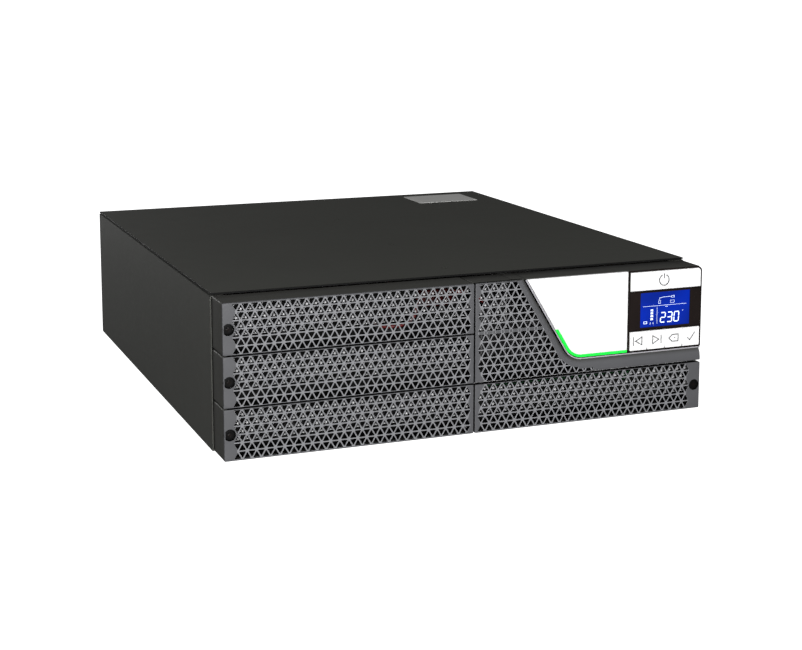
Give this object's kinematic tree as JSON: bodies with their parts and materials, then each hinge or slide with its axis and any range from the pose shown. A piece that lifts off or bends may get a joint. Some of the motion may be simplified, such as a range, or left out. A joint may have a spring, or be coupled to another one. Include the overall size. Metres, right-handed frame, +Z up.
{
  "type": "uninterruptible power supply",
  "caption": "Low wide steel-cased uninterruptible power supply with a perforated front bezel, sloping white fascia with a light strip, a display module, slide-out battery pack and rear sockets.",
  "frame": {"origin": "centre of the base at the floor, under the middle of the overall box", "axes": "X to the right seen from the front, Y from the front bezel to the rear panel, Z up"},
  "size_m": [0.44, 0.508, 0.1318],
  "materials": {
    "case_paint": "fine-textured satin black-brown powder coat",
    "galvanised": "galvanised sheet, lightly spangled",
    "bezel_plastic": "matt moulded slate grey, fine grain",
    "white_plastic": "smooth satin white",
    "light_green": "lit light guide",
    "lcd_blue": "backlit display",
    "black_plastic": "moulded black",
    "screw_black": "blackened screw",
    "circuit_board": "green solder resist",
    "battery_case": "dark moulded case",
    "aluminium": "bare extruded",
    "copper": "enamelled copper winding",
    "red_wire": "soft red insulation",
    "label_grey": "blank printed label"
  },
  "bodies": {
    "chassis": {"base_tray": "case_paint", "top_cover": "case_paint", "rear_panel": "case_paint", "front_frame": "galvanised", "bay_partition": "galvanised", "fan_guard_1": "galvanised", "fan_guard_2": "galvanised", "display_bezel": "bezel_plastic", "fascia_panel": "white_plastic", "light_strip": "light_green", "battery_socket": "black_plastic", "fan_frame_1": "black_plastic", "fan_frame_2": "black_plastic", "outlet_bank_upper": "black_plastic", "outlet_bank_lower": "black_plastic", "outlet_high_current": "black_plastic", "inlet_shell": "black_plastic", "breaker_body": "black_plastic", "signal_ports": "black_plastic", "main_board": "circuit_board", "capacitor_bank": "battery_case", "heat_sink_inverter": "aluminium", "heat_sink_charger": "aluminium", "inlet_pins": "aluminium", "transformer": "copper", "inductor_output": "copper", "inductor_input": "copper", "rating_label": "label_grey"},
    "battery_pack": {"pack_tray": "galvanised", "pack_handle": "black_plastic", "pack_plug": "red_wire", "pack_lead": "red_wire", "battery_1": "battery_case", "battery_2": "battery_case", "battery_3": "battery_case", "battery_4": "battery_case", "battery_5": "battery_case", "battery_6": "battery_case"},
    "cover_left_bottom": {"cover_left_bottom": "bezel_plastic", "cover_left_bottom_screw": "screw_black"},
    "cover_left_middle": {"cover_left_middle": "bezel_plastic", "cover_left_middle_screw": "screw_black"},
    "cover_left_top": {"cover_left_top": "bezel_plastic", "cover_left_top_screw": "screw_black"},
    "cover_right_bottom": {"cover_right_bottom": "bezel_plastic", "cover_right_bottom_screw": "screw_black"},
    "display_module": {"display_housing": "black_plastic", "display_surround": "black_plastic", "lcd_panel": "lcd_blue", "display_board": "circuit_board"},
    "power_button": {"power_button": "white_plastic"},
    "key_previous": {"key_previous": "white_plastic"},
    "key_next": {"key_next": "white_plastic"},
    "key_escape": {"key_escape": "white_plastic"},
    "key_enter": {"key_enter": "white_plastic"},
    "fan_rotor_1": {"fan_rotor_1": "black_plastic"},
    "fan_rotor_2": {"fan_rotor_2": "black_plastic"},
    "breaker_reset": {"breaker_reset": "white_plastic"},
    "slot_cover": {"slot_cover": "galvanised"}
  },
  "joints": [
    {"name": "battery_pack_slide", "type": "slide", "parent": "chassis", "child": "battery_pack", "axis": [0, -1, 0], "range_m": [0, 0.32]},
    {"name": "cover_left_bottom_pull", "type": "slide", "parent": "battery_pack", "child": "cover_left_bottom", "axis": [0, -1, 0], "range_m": [0, 0.04]},
    {"name": "cover_left_middle_pull", "type": "slide", "parent": "battery_pack", "child": "cover_left_middle", "axis": [0, -1, 0], "range_m": [0, 0.04]},
    {"name": "cover_left_top_pull", "type": "slide", "parent": "battery_pack", "child": "cover_left_top", "axis": [0, -1, 0], "range_m": [0, 0.04]},
    {"name": "cover_right_bottom_pull", "type": "slide", "parent": "chassis", "child": "cover_right_bottom", "axis": [0, -1, 0], "range_m": [0, 0.04]},
    {"name": "display_module_pull", "type": "slide", "parent": "chassis", "child": "display_module", "axis": [0, -1, 0], "range_m": [0, 0.025]},
    {"name": "power_button_press", "type": "slide", "parent": "display_module", "child": "power_button", "axis": [0, 1, 0], "range_m": [0, 0.0006], "stiffness_N_per_m": 500},
    {"name": "key_previous_press", "type": "slide", "parent": "display_module", "child": "key_previous", "axis": [0, 1, 0], "range_m": [0, 0.0006], "stiffness_N_per_m": 500},
    {"name": "key_next_press", "type": "slide", "parent": "display_module", "child": "key_next", "axis": [0, 1, 0], "range_m": [0, 0.0006], "stiffness_N_per_m": 500},
    {"name": "key_escape_press", "type": "slide", "parent": "display_module", "child": "key_escape", "axis": [0, 1, 0], "range_m": [0, 0.0006], "stiffness_N_per_m": 500},
    {"name": "key_enter_press", "type": "slide", "parent": "display_module", "child": "key_enter", "axis": [0, 1, 0], "range_m": [0, 0.0006], "stiffness_N_per_m": 500},
    {"name": "breaker_reset_press", "type": "slide", "parent": "chassis", "child": "breaker_reset", "axis": [0, -1, 0], "range_m": [0, 0.002], "stiffness_N_per_m": 800},
    {"name": "slot_cover_pull", "type": "slide", "parent": "chassis", "child": "slot_cover", "axis": [0, 1, 0], "range_m": [0, 0.03]},
    {"name": "fan_rotor_1_spin", "type": "hinge", "parent": "chassis", "child": "fan_rotor_1", "pos_m": [0.075, 0.2345, 0.065], "axis": [0, 1, 0], "continuous": true},
    {"name": "fan_rotor_2_spin", "type": "hinge", "parent": "chassis", "child": "fan_rotor_2", "pos_m": [0.165, 0.2345, 0.065], "axis": [0, 1, 0], "continuous": true}
  ]
}
